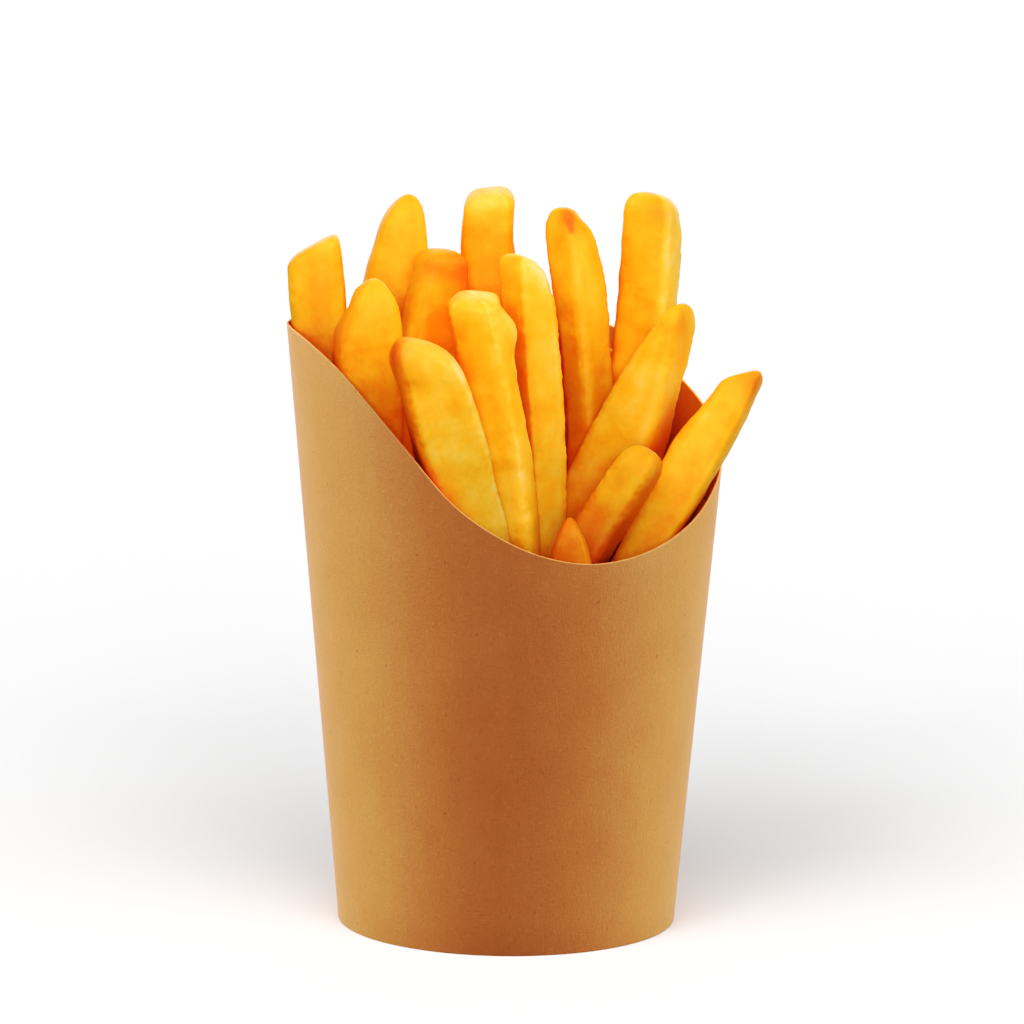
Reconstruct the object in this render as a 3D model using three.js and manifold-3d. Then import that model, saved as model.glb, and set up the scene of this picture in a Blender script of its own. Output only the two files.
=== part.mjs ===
// French fries in a scoop cup: a kraft-board cup with a scooped rim, its recessed bottom disc and
// the heap of thick-cut fries that stands in it.
// Millimetres, +Z up. The cup stands on z = 0, and the scoop of its rim opens towards -Y and +X.
import * as THREE from "three";
import { mergeVertices } from "three/addons/utils/BufferGeometryUtils.js";
import Module from "manifold-3d";

const wasm = await Module();
wasm.setup();

// ---- driving dimensions of the cup ----------------------------------------------------------
const BOARD = 0.5; // thickness of the kraft board
const CUP_HEIGHT = 124; // from the floor to the crest of the rim
const TOP_RADIUS = 46; // outside of the wall, level with the crest
const BASE_RADIUS = 35; // outside of the wall, on the floor
const HEM_HEIGHT = 7.5; // the wall's lower edge is folded in and up this far, round the skirt
const GAP = 0.3; // clear air between pieces that touch on the real cup
const LAP_WIDTH = 9; // the wall's ends are glued over each other along this strip
const LAP_ANGLE = 172; // where the middle of that strip lies, in degrees from the front
const LAP_SUNK = 0.3; // the strip's back is sunk this far into the wall it is joined to
const CUP_SEGMENTS = 90;
const SLOPE = (TOP_RADIUS - BASE_RADIUS) / CUP_HEIGHT;

// The rim's height round the cup: [degrees from the front, towards +X, millimetres].
// The lowest point faces a little to the right, and the crest runs round the left and the back.
const RIM = [
  [-160, 124], [-95, 124], [-75, 123.5], [-60, 121.1], [-45, 115], [-30, 104.3], [-15, 92],
  [0, 84.6], [13, 81.1], [26, 80.1], [42, 81.9], [59, 86.3], [74, 91.8], [92, 98],
  [112, 105.2], [130, 112], [150, 119.8], [170, 123.7], [200, 124],
];

// ---- driving dimensions of the fries --------------------------------------------------------
const FRY_SIDES = 8;
const SQUARENESS = 3.5; // 2 is a round section, and higher is squarer
const BODY_STATIONS = [0.3, 0.52, 0.7]; // rings along a fry, between its rounded ends
const END_SHARE = 0.5; // the flat end is this share of the full section
const SHOULDER = { reach: 0.35, share: 0.86 }; // halfway ring between the flat end and the body
const FOOT_ROUND = 6; // how far a foot's rounding reaches up

// The fries that rise in front of the others. tip and foot are the middles of the two ends.
// width is taken across the face towards -Y at the foot, at the belly (a share of the length) and
// at the tip; depth is square to it. bow pushes the middle along X, turn twists the section in
// degrees, cut slants the tip's end, and round is how far the tip's rounding reaches down.
const FRONT_FRIES = [
  { tip: [-40, -2, 139.7], foot: [-30.5, -1, 48], bow: -1.8, // against the left wall
    width: [9.6, 11.4, 11.3], belly: 0.6, depth: 11, turn: 0, cut: 26, round: 3 },
  { tip: [-27.4, -23, 134.3], foot: [-24.3, -20, 45], bow: -3.3, // left, full in the middle
    width: [12, 14, 9.5], belly: 0.72, depth: 11, turn: 0, cut: 0, round: 10 },
  { tip: [-21.9, 12, 149], foot: [-25.4, 10, 45], bow: -2.6, // tall and pointed
    width: [12, 15.2, 8.6], belly: 0.6, depth: 11, turn: 8, cut: 18, round: 9 },
  { tip: [-13.9, -1, 138.7], foot: [-26.7, -2, 48], bow: 0.8, // red-brown end
    width: [12, 14.4, 9.4], belly: 0.6, depth: 10, turn: 0, cut: -8, round: 4 },
  { tip: [-17, -35.5, 122.8], foot: [-1.5, -28, 38], bow: 2.4, // broad, on the front wall
    width: [11, 14.2, 14], belly: 0.6, depth: 11, turn: 4, cut: -14, round: 8 },
  { tip: [-7.9, -26, 132.1], foot: [3.7, -19, 35], bow: 2, // long, beside the broad one
    width: [9.4, 12, 11.4], belly: 0.6, depth: 10, turn: 14, cut: -8, round: 4 },
  { tip: [-5, 12, 150.6], foot: [-4.2, 8, 45], bow: -0.3, // tallest
    width: [10, 11.2, 9.8], belly: 0.6, depth: 10.5, turn: 0, cut: 8, round: 4 },
  { tip: [2.4, -13, 137.8], foot: [4, -10, 32], bow: 3.4, // bowed to the right
    width: [8.6, 9.6, 8.4], belly: 0.75, depth: 10, turn: 10, cut: -16, round: 7 },
  { tip: [10.7, 8, 146.9], foot: [19.4, 7, 45], bow: 3.5, // turned on its edge
    width: [8.2, 9.8, 9], belly: 0.7, depth: 9.6, turn: 45, cut: -6, round: 7 },
  { tip: [28.7, 13.5, 149.8], foot: [11.8, 13, 45], bow: 5, // tall, at the right
    width: [10.4, 12, 11.2], belly: 0.7, depth: 10.5, turn: -20, cut: -6, round: 5 },
  { tip: [35.8, -2, 127.7], foot: [-0.3, -2, 45], bow: -0.6, // wedge that leans to the right
    width: [12, 15.2, 4.4], belly: 0.4, depth: 12.5, turn: -35, cut: 0, round: 8 },
  { tip: [27.8, -26, 101.3], foot: [-5.2, -25, 45], bow: -0.9, // short, leaning to the right
    width: [8.4, 9.6, 8], belly: 0.6, depth: 9, turn: -12, cut: 0, round: 5 },
  { tip: [47.4, -6, 113.7], foot: [11, -29, 48], bow: -1.8, // lies on the low right rim
    width: [10.4, 10.8, 9.6], belly: 0.7, depth: 10.5, turn: -14, cut: 42, round: 8 },
  { tip: [11.8, -36, 88.8], foot: [14.5, -30, 45], bow: -0.7, // stub at the lowest rim
    width: [8.2, 9.6, 3], belly: 0.6, depth: 6, turn: 0, cut: 0, round: 9 },
];

// The tips of the plain fries that stand behind the front ones.
const BACK_TIPS = [
  [-34, 18, 122], [-23, 28, 139], [-5.2, 27, 133], [13.4, 28, 129], [30, 24.5, 141], [-12, 38, 121],
  [5, 39, 119], [-14, 15, 132], [4, 17, 127], [20, 35, 116], [37, 7, 90],
];

// Short fries fill the middle. Their tips lie on a spiral, in a plane that falls to the scoop.
const SHORT_COUNT = 20;
const SHORT_RADIUS = 34;
const SHORT_HEIGHT = 89; // on the cup's axis
const SHORT_FALL = [-0.45, 0.45]; // rise for each millimetre along X and along Y
const GOLDEN_ANGLE = 137.5;

// A plain fry is square in section, narrows to both ends and leans outwards. A wave makes each one
// differ from the last: wave is its step from fry to fry in radians, turn the twist's in degrees.
const PLAIN = { width: 9.8, footTaper: 1, tipTaper: 1.5, round: 5, cut: 12, wave: 2.4, turn: 37 };
const PLAIN_FOOT = { height: 42, inward: 0.76 }; // feet stand nearer to the cup's axis

// The core is the packed mass between the fries' lower ends.
const CORE_FOOT = HEM_HEIGHT + BOARD + 2 * GAP; // just above the bottom disc
const CORE_TOP = 64;
const CORE_CLEARANCE = 2.5; // from the wall's inside
const CORE_SEGMENTS = 32;

// ---- colours ---------------------------------------------------------------------------------
const KRAFT = { color: "#c58f56", roughness: 0.62, metalness: 0 };
const GOLDEN = { color: "#fcb52c", roughness: 0.5, metalness: 0 };

// ---- shared helpers --------------------------------------------------------------------------
const radians = THREE.MathUtils.degToRad;
const outside = (z) => BASE_RADIUS + SLOPE * z;
const inside = (z) => outside(z) - BOARD;

// A closed three.js geometry as a solid that can be joined and cut.
function solid(geometry) {
  const bare = geometry.clone();
  bare.deleteAttribute("normal");
  bare.deleteAttribute("uv");
  const merged = mergeVertices(bare, 1e-4);
  return new wasm.Manifold(
    new wasm.Mesh({
      numProp: 3,
      vertProperties: new Float32Array(merged.attributes.position.array),
      triVerts: new Uint32Array(merged.index.array),
    }),
  );
}

// A joined or cut solid as a three.js geometry again.
function geometryOf(body) {
  const { numProp, numVert, vertProperties, triVerts } = body.getMesh();
  const places = new Float32Array(numVert * 3);
  for (let i = 0; i < numVert; i++) {
    places.set(vertProperties.subarray(i * numProp, i * numProp + 3), i * 3);
  }
  const geometry = new THREE.BufferGeometry();
  geometry.setAttribute("position", new THREE.BufferAttribute(places, 3));
  geometry.setIndex(new THREE.BufferAttribute(new Uint32Array(triVerts), 1));
  geometry.computeVertexNormals();
  return geometry;
}

// Moves every vertex of a geometry by a function of its place.
function reshape(geometry, place) {
  const points = geometry.attributes.position;
  const point = new THREE.Vector3();
  for (let i = 0; i < points.count; i++) {
    point.fromBufferAttribute(points, i);
    place(point);
    points.setXYZ(i, point.x, point.y, point.z);
  }
  return geometry;
}

// Turns an outline of [radius, height] pairs, listed anticlockwise, about the Z axis. An outline
// that starts on the axis also ends there, and any other is a ring's section, closed on itself.
function turned(outline, segments) {
  const points = outline.map(([r, z]) => new THREE.Vector2(r, z));
  if (points[0].x > 0) points.push(points[0].clone());
  return new THREE.LatheGeometry(points, segments).rotateX(Math.PI / 2);
}

// ---- the cup's wall --------------------------------------------------------------------------
const rimCurve = new THREE.CubicInterpolant(
  RIM.map(([angle]) => angle),
  RIM.map(([, height]) => height),
  1,
);

// The rim's height in a direction given in degrees from the front, positive towards +X.
function rimHeight(angle) {
  const first = RIM[0][0];
  const [height] = rimCurve.evaluate(THREE.MathUtils.euclideanModulo(angle - first, 360) + first);
  return Math.min(height, CUP_HEIGHT);
}

const angleOf = (point) => THREE.MathUtils.radToDeg(Math.atan2(point.x, -point.y));

// Slides a point of the wall's straight part along the cone, so that the crest follows the rim.
function followRim(point) {
  if (point.z <= HEM_HEIGHT) return;
  const share = (point.z - HEM_HEIGHT) / (CUP_HEIGHT - HEM_HEIGHT);
  const z = HEM_HEIGHT + share * (rimHeight(angleOf(point)) - HEM_HEIGHT);
  const radius = Math.hypot(point.x, point.y);
  const scale = (radius + SLOPE * (z - point.z)) / radius;
  point.set(point.x * scale, point.y * scale, z);
}

// The wall's section: one board from the fold to the rim, and a hem inside it that leaves a slot
// for the bottom disc's skirt. spread makes it thicker all round, for cutting a clearance.
const SLOT = BOARD + 2 * GAP;
function wallGeometry(spread = 0) {
  const rimTop = CUP_HEIGHT + spread;
  const hemOutside = (z) => inside(z) - SLOT;
  const hemInside = (z) => hemOutside(z) - BOARD - spread;
  const outline = [
    [outside(0) + spread, 0],
    [outside(HEM_HEIGHT) + spread, HEM_HEIGHT],
    [outside(rimTop) + spread, rimTop],
    [inside(rimTop) - spread, rimTop],
    [inside(HEM_HEIGHT + spread) - spread, HEM_HEIGHT + spread],
    [inside(BOARD) - spread, BOARD],
    [hemOutside(BOARD), BOARD],
    [hemOutside(HEM_HEIGHT), HEM_HEIGHT],
    [hemInside(HEM_HEIGHT), HEM_HEIGHT],
    [hemInside(0), 0],
  ];
  return reshape(turned(outline, CUP_SEGMENTS), followRim);
}

// The glued lap: a strip of the same board, bent round the wall, from the fold to the rim.
function lapGeometry() {
  const sweep = THREE.MathUtils.radToDeg(LAP_WIDTH / TOP_RADIUS);
  const strip = new THREE.BoxGeometry(sweep, 1, BOARD + LAP_SUNK, 4, 1, 1);
  return reshape(strip, (point) => {
    const angle = LAP_ANGLE + point.x;
    const z = (point.y + 0.5) * rimHeight(angle);
    const radius = outside(z) + point.z + (BOARD - LAP_SUNK) / 2;
    point.set(radius * Math.sin(radians(angle)), -radius * Math.cos(radians(angle)), z);
  });
}

// ---- the bottom disc -------------------------------------------------------------------------
// A disc of board pressed in above the hem, with its edge turned down into the wall's slot.
function baseGeometry() {
  const under = HEM_HEIGHT + GAP;
  const top = under + BOARD;
  const foot = BOARD + GAP;
  const edge = (z) => inside(z) - GAP;
  const outline = [
    [0, under],
    [edge(under) - BOARD, under],
    [edge(foot) - BOARD, foot],
    [edge(foot), foot],
    [edge(top), top],
    [0, top],
  ];
  return turned(outline, CUP_SEGMENTS);
}

// ---- one fry ---------------------------------------------------------------------------------
// The rings of a fry from foot to tip: how far along its length, and which share of its section.
function ringsOf(length, round) {
  const foot = [[0, END_SHARE], [SHOULDER.reach * FOOT_ROUND, SHOULDER.share]];
  const tip = [[round, 1], [SHOULDER.reach * round, SHOULDER.share], [0, END_SHARE]];
  return [
    ...foot.map(([distance, share]) => ({ t: distance / length, share, slant: 0 })),
    ...BODY_STATIONS.map((t) => ({ t, share: 1, slant: 0 })),
    ...tip.map(([distance, share]) => ({ t: 1 - distance / length, share, slant: 1 })),
  ];
}

// A fry's width at a share t of its length, easing from foot to belly and from belly to tip.
function widthAt([foot, middle, tip], belly, t) {
  const { lerp, smoothstep } = THREE.MathUtils;
  if (t < belly) return lerp(foot, middle, smoothstep(t, 0, belly));
  return lerp(middle, tip, ((t - belly) / (1 - belly)) ** 2);
}

// A tube of rings from foot to tip, its section a rounded square.
function frySolid({ tip, foot, bow, width, belly, depth, turn, cut, round }) {
  const start = new THREE.Vector3(...foot);
  const axis = new THREE.Vector3(...tip).sub(start);
  const along = axis.clone().normalize();
  const across = new THREE.Vector3(0, 1, 0).cross(along).normalize();
  across.applyAxisAngle(along, radians(turn));
  const through = across.clone().cross(along);
  const rings = ringsOf(axis.length(), round);

  const last = rings.length - 1;
  const tube = new THREE.CylinderGeometry(1, 1, 1, FRY_SIDES, last, false, Math.PI / FRY_SIDES);
  reshape(tube, (point) => {
    const { t, share, slant } = rings[Math.round((point.y + 0.5) * last)];
    const sum = Math.abs(point.x) ** SQUARENESS + Math.abs(point.z) ** SQUARENESS;
    const reach = sum ** (1 / SQUARENESS);
    const a = reach && (point.x / reach) * share * widthAt(width, belly, t) / 2;
    const b = reach && (point.z / reach) * share * depth / 2;
    point.copy(start).addScaledVector(axis, t);
    point.addScaledVector(across, a).addScaledVector(through, b);
    point.addScaledVector(along, slant * a * Math.tan(radians(cut)));
    point.x += bow * 4 * t * (1 - t);
  });
  return solid(tube);
}

// A plain fry: leaning outwards with the cup's wall, each a little different from the last.
function plainFry([x, y, z], index) {
  const { height, inward } = PLAIN_FOOT;
  const { width, footTaper, tipTaper, round } = PLAIN;
  const wave = Math.sin(index * PLAIN.wave);
  return frySolid({
    tip: [x, y, z],
    foot: [x * inward, y * inward, height],
    bow: wave,
    width: [width - footTaper, width + wave, width - tipTaper],
    belly: 0.6,
    depth: width - wave,
    turn: (index * PLAIN.turn) % 90,
    cut: PLAIN.cut * wave,
    round,
  });
}

function shortTips() {
  return Array.from({ length: SHORT_COUNT }, (_, index) => {
    const radius = SHORT_RADIUS * Math.sqrt((index + 0.5) / SHORT_COUNT);
    const angle = radians(index * GOLDEN_ANGLE);
    const x = radius * Math.cos(angle);
    const y = radius * Math.sin(angle);
    return [x, y, SHORT_HEIGHT + SHORT_FALL[0] * x + SHORT_FALL[1] * y];
  });
}

// ---- the heap --------------------------------------------------------------------------------
function coreSolid() {
  const outline = [
    [0, CORE_FOOT],
    [inside(CORE_FOOT) - CORE_CLEARANCE, CORE_FOOT],
    [inside(CORE_TOP) - CORE_CLEARANCE, CORE_TOP],
    [0, CORE_TOP],
  ];
  return solid(turned(outline, CORE_SEGMENTS));
}

function heapGeometry() {
  let heap = coreSolid();
  for (const fry of FRONT_FRIES) heap = heap.add(frySolid(fry));
  [...BACK_TIPS, ...shortTips()].forEach((tip, index) => {
    heap = heap.add(plainFry(tip, index));
  });
  heap = heap.subtract(solid(wallGeometry(GAP)));
  const largest = heap.decompose().sort((a, b) => b.volume() - a.volume())[0];
  return geometryOf(largest);
}

// ---- the part --------------------------------------------------------------------------------
function named(name, geometry, finish) {
  const mesh = new THREE.Mesh(geometry, new THREE.MeshStandardMaterial(finish));
  mesh.name = name;
  return mesh;
}

const wall = geometryOf(solid(wallGeometry()).add(solid(lapGeometry())));
const filledCup = new THREE.Group();
filledCup.add(named("cup_wall", wall, KRAFT));
filledCup.add(named("cup_base", baseGeometry(), KRAFT));
filledCup.add(named("fries", heapGeometry(), GOLDEN));

// The part's origin is on the floor, under the middle of its box.
const box = new THREE.Box3().setFromObject(filledCup, true);
const middle = box.getCenter(new THREE.Vector3());
filledCup.position.set(-middle.x, -middle.y, -box.min.z);

const part = new THREE.Group();
part.add(filledCup);

export default part;
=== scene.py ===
# %% [markdown]
# # French fries in a scoop cup
# A scoop cup is a cone of brown kraft board with a bottom disc pressed into it. Its rim is cut
# lower at the front, so the fries lean out over the scoop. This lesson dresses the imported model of
# such a cup: a wall of real board with a cut edge and a glued lap, and a heap of separate fries.
# Everything is modelled in millimetres about the cup's axis, and put in place as the last step.

# %% Load the frame
import math
import bmesh
import bpy
from mathutils import Matrix, Vector, noise


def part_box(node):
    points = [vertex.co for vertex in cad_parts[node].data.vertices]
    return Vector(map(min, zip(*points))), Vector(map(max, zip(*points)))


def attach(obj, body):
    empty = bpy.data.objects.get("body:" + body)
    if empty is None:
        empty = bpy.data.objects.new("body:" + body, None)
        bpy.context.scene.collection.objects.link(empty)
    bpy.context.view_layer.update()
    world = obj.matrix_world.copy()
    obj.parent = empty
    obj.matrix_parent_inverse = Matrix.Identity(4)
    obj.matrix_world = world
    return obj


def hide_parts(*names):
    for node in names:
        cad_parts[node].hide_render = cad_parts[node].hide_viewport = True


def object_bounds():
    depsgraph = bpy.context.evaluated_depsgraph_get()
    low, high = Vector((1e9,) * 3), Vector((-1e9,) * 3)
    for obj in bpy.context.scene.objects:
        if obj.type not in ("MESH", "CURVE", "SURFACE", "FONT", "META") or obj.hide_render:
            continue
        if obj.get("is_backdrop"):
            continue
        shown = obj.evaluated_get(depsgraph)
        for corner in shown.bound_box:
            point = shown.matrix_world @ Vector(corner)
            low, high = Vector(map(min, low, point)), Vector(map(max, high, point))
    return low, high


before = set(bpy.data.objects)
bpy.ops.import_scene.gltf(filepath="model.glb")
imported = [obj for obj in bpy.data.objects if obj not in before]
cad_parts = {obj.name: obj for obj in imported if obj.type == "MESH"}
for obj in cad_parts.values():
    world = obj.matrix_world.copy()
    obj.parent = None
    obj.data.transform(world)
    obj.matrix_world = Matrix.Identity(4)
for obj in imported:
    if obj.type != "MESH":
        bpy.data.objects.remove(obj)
cad_box = [list(corner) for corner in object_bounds()]
low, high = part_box("cup_base")
cup_axis = Vector(((low.x + high.x) / 2, (low.y + high.y) / 2, 0))
print("cup axis at", [round(v * 1000, 2) for v in cup_axis], "mm")

# %% [markdown]
# ## Helpers
# A finished piece sits at the origin with its place in its mesh, so the last thing that happens to
# every mesh is a change from millimetres to metres and a move to the cup's axis.

# %% Put a mesh in place
METRES = 0.001


def place(bm, name, *materials):
    """Turns a bmesh in millimetres about the cup's axis into a piece of the part."""
    bmesh.ops.scale(bm, vec=(METRES, METRES, METRES), verts=bm.verts)
    bmesh.ops.translate(bm, vec=cup_axis, verts=bm.verts)
    mesh = bpy.data.meshes.new(name)
    bm.to_mesh(mesh)
    bm.free()
    for material in materials:
        mesh.materials.append(material)
    piece = bpy.data.objects.new(name, mesh)
    bpy.context.scene.collection.objects.link(piece)
    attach(piece, "root")
    print(name, len(mesh.vertices), "vertices")
    return piece


# %% [markdown]
# Colours are written as the hex values that a painting program shows, and shaders work with linear
# light, so one function turns the first into the second. Another starts a material and sets what
# is the same all over it on the shader's own sockets. The third adds a node, sets its values and
# links it, and the last turns a size in millimetres into a texture's scale.

# %% Colours, materials and nodes
def linear(hexcode):
    """An sRGB hex colour as linear red, green, blue and alpha."""
    parts = [int(hexcode[i:i + 2], 16) / 255 for i in (1, 3, 5)]
    return (*[c / 12.92 if c <= 0.04045 else ((c + 0.055) / 1.055) ** 2.4 for c in parts], 1)


def start_material(name, surface):
    """A material with these values on its shader, with its node tree and its shader."""
    material = bpy.data.materials.new(name)
    material.use_nodes = True
    tree = material.node_tree
    shader = tree.nodes["Principled BSDF"]
    for socket, value in surface.items():
        shader.inputs[socket].default_value = value
    return material, tree, shader


def add(tree, kind, inputs=None, **settings):
    """Adds a node. A socket that is given another node's output is linked to it."""
    node = tree.nodes.new(kind)
    for name, value in settings.items():
        setattr(node, name, value)
    for name, value in (inputs or {}).items():
        if isinstance(value, bpy.types.NodeSocket):
            tree.links.new(value, node.inputs[name])
        else:
            node.inputs[name].default_value = value
    return node


def per(size):
    """The texture scale that gives features of this size in millimetres."""
    return 1000 / size


# %% [markdown]
# ## Kraft board
# Kraft is unbleached paper pulp, rolled into board. It has no coating, so it is matt, with a faint
# sheen where the rollers pressed its fibres flat. That is a middling roughness, a little less
# mirror than plastic has, and a touch of sheen at grazing angles.

# %% Material: kraft board
kraft, tree, shader = start_material("kraft_board", {
    "Roughness": 0.55, "Specular IOR Level": 0.4, "Sheen Weight": 0.1, "Sheen Roughness": 0.4})
where = add(tree, "ShaderNodeTexCoord").outputs["Object"]

# %% [markdown]
# The pulp is never quite one brown. Clouds of two near browns, about as wide as a thumb, break it
# up, and the rollers leave faint streaks along the cup's height. The streaks are a noise that is
# drawn out along Z. One noise for both would look printed.

# %% Clouds and streaks
clouds = add(tree, "ShaderNodeTexNoise", {"Vector": where, "Scale": per(16), "Detail": 3.0,
                                          "Roughness": 0.6}).outputs["Fac"]
board = add(tree, "ShaderNodeMix", {0: clouds, 6: linear("#bc8356"), 7: linear("#ca9263")},
            data_type="RGBA").outputs[2]
streak_space = add(tree, "ShaderNodeMapping", {"Vector": where, "Scale": (1.0, 1.0, 0.05)})
streaks = add(tree, "ShaderNodeTexNoise", {"Vector": streak_space.outputs[0], "Scale": per(2.2),
                                           "Detail": 2.0}).outputs["Fac"]
shade = add(tree, "ShaderNodeMapRange", {"Value": streaks, "From Min": 0.3, "From Max": 0.7,
                                         "To Min": 0.985, "To Max": 1.01}).outputs[0]

# %% [markdown]
# The pulp's long fibres lie every way and show as pale and dark threads a millimetre or two long.
# Noise that is stretched along X, Y or Z draws threads that lie that way, and works on the wall and
# on the flat bottom alike, because it fills space. A real fibre is 0.03 mm thick, far too fine to
# show, so a thread is drawn 0.4 mm thick.

# %% Threads
THREAD_WAYS = [(0.3, 1, 1), (1, 0.3, 1), (1, 1, 0.3)]
THREAD_SIZE = 0.42
height = streaks
for axis, stretch in enumerate(THREAD_WAYS):
    space = add(tree, "ShaderNodeMapping", {"Vector": where, "Scale": stretch,
                                            "Location": (0.1 * axis, 0.2, 0.3)})
    thread = add(tree, "ShaderNodeTexNoise", {"Vector": space.outputs[0],
                                              "Scale": per(THREAD_SIZE),
                                              "Detail": 1.0}).outputs["Fac"]
    pale = add(tree, "ShaderNodeMapRange", {"Value": thread, "From Min": 0.62, "From Max": 0.74,
                                            "To Min": 0.0, "To Max": 0.07}).outputs[0]
    dark = add(tree, "ShaderNodeMapRange", {"Value": thread, "From Min": 0.26, "From Max": 0.38,
                                            "To Min": 0.07, "To Max": 0.0}).outputs[0]
    shade = add(tree, "ShaderNodeMath", {0: shade, 1: pale}, operation="ADD").outputs[0]
    shade = add(tree, "ShaderNodeMath", {0: shade, 1: dark}, operation="SUBTRACT").outputs[0]
    height = add(tree, "ShaderNodeMath", {0: height, 1: thread}, operation="ADD").outputs[0]

# %% [markdown]
# Flecks of bark stay in unbleached pulp. A Voronoi texture has one cell for each place where a
# fleck could be, three millimetres apart. Each cell's random colour decides how large its fleck is,
# and most cells have none. The fibres stand out of the surface by about a tenth of a millimetre.

# %% Flecks of bark, and the fibres' relief
specks = add(tree, "ShaderNodeTexVoronoi", {"Vector": where, "Scale": per(3.0)}).outputs
chance = add(tree, "ShaderNodeSeparateColor", {"Color": specks["Color"]}).outputs[0]
bark = add(tree, "ShaderNodeMapRange", {"Value": chance, "From Min": 0.7, "From Max": 1.0,
                                        "To Min": 0.0, "To Max": 0.13}).outputs[0]
near = add(tree, "ShaderNodeMath", {0: specks["Distance"], 1: bark},
           operation="LESS_THAN").outputs[0]
speck = add(tree, "ShaderNodeMapRange", {"Value": near, "To Min": 1.0, "To Max": 0.8}).outputs[0]
shade = add(tree, "ShaderNodeMath", {0: shade, 1: speck}, operation="MULTIPLY").outputs[0]
tinted = add(tree, "ShaderNodeMix", {0: 1.0, 6: board, 7: shade}, data_type="RGBA",
             blend_type="MULTIPLY").outputs[2]
tree.links.new(tinted, shader.inputs["Base Color"])
bump = add(tree, "ShaderNodeBump", {"Height": height, "Strength": 0.25, "Distance": 0.00012})
tree.links.new(bump.outputs[0], shader.inputs["Normal"])
print(kraft.name, len(tree.nodes), "nodes")

# %% [markdown]
# The die that cuts the blank leaves an edge of raw fibres, which is paler than the rolled faces and
# a little fluffy, so it is rough and has no sheen. Its colour is made paler still, as a painted
# highlight, so it shows as a fine light line all along the rim.

# %% Material: cut edge of the board, with a painted highlight
cut_edge_with_painted_highlight, tree, shader = start_material("kraft_cut_edge_painted_highlight", {"Roughness": 0.85})
where = add(tree, "ShaderNodeTexCoord").outputs["Object"]
fluff = add(tree, "ShaderNodeTexNoise", {"Vector": where, "Scale": per(1.2),
                                         "Detail": 3.0}).outputs["Fac"]
# Raw fibre colours, made paler as a painted highlight along the rim.
raw_edge_with_painted_highlight = add(tree, "ShaderNodeMix", {0: fluff, 6: linear("#d68c5a"), 7: linear("#f6b486")},
          data_type="RGBA").outputs[2]
tree.links.new(raw_edge_with_painted_highlight, shader.inputs["Base Color"])
print(cut_edge_with_painted_highlight.name, len(tree.nodes), "nodes")

# %% [markdown]
# ## The wall
# The real wall is one flat blank, bent into a cone, lapped and glued, with its lower edge folded
# in and up round the bottom disc's skirt. Its section is the same all the way round, so a closed
# section is drawn once and spun about the cup's axis. The rim isn't level, so each upright line
# of the spun mesh is then shortened along the cone to end on the rim's curve.

# %% The cup's sizes, in millimetres
BOARD = 0.5
CUP_HEIGHT = 124
TOP_RADIUS = 46
BASE_RADIUS = 35
HEM_HEIGHT = 7.5
GAP = 0.3
SLOPE = (TOP_RADIUS - BASE_RADIUS) / CUP_HEIGHT


def outside(z):
    return BASE_RADIUS + SLOPE * z


def inside(z):
    return outside(z) - BOARD


def hem_outside(z):
    """The outer face of the fold, which leaves a slot for the disc's skirt inside the wall."""
    return inside(z) - BOARD - 2 * GAP


print("outer radius at mid height", outside(CUP_HEIGHT / 2), "mm")

# %% [markdown]
# The die that cut the rim followed one smooth curve: level behind, then down to the scoop's lowest
# place and up again. It is given here as a few heights, each with its direction in degrees from the
# front, and a cubic between each two keeps their slopes, so the curve has no corner.

# %% The rim's curve
RIM = [(-160, 124), (-95, 124), (-75, 123.5), (-60, 121.1), (-45, 115), (-30, 104.3), (-15, 92),
       (0, 84.6), (13, 81.1), (26, 80.1), (42, 81.9), (59, 86.3), (74, 91.8), (92, 98),
       (112, 105.2), (130, 112), (150, 119.8), (170, 123.7), (200, 124)]


def rim_height(angle):
    """The rim's height in a direction in degrees from the front, on a smooth curve through RIM."""
    angle = (angle - RIM[0][0]) % 360 + RIM[0][0]
    last = len(RIM) - 1
    i = max(k for k in range(last) if RIM[k][0] <= angle)
    (x0, y0), (x1, y1) = RIM[i], RIM[i + 1]
    before, after = RIM[max(i - 1, 0)], RIM[min(i + 2, last)]
    slope0 = (y1 - before[1]) / (x1 - before[0]) if i else 0
    slope1 = (after[1] - y0) / (after[0] - x0) if i + 1 < last else 0
    t, width = (angle - x0) / (x1 - x0), x1 - x0
    smooth = (2 * t**3 - 3 * t**2 + 1) * y0 + (3 * t**2 - 2 * t**3) * y1
    bend = (t**3 - 2 * t**2 + t) * slope0 + (t**3 - t**2) * slope1
    return min(CUP_HEIGHT, smooth + width * bend)


def angle_of(point):
    return math.degrees(math.atan2(point.x, -point.y))


print("rim low point", min((round(rim_height(a), 1), a) for a in range(-180, 180, 2)))

# %% [markdown]
# The section runs up the outside, over the rim, down the inside, under the skirt's slot, up and
# over the fold, and back to the floor. The edges that will be rounded are picked now, while the rim
# is still level: the two rings at the top and the two at the bottom.

# %% Spin the wall's section
WALL_STEPS = 216
WALL_LEVELS = 6
LEVEL = 0.01
MERGE = 0.001
levels = [HEM_HEIGHT + (CUP_HEIGHT - HEM_HEIGHT) * k / WALL_LEVELS for k in range(WALL_LEVELS + 1)]
section = [(outside(0), 0)] + [(outside(z), z) for z in levels]
section += [(inside(z), z) for z in reversed(levels)] + [(inside(BOARD), BOARD)]
section += [(hem_outside(BOARD), BOARD), (hem_outside(HEM_HEIGHT), HEM_HEIGHT)]
section += [(hem_outside(HEM_HEIGHT) - BOARD, HEM_HEIGHT), (hem_outside(0) - BOARD, 0)]

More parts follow.
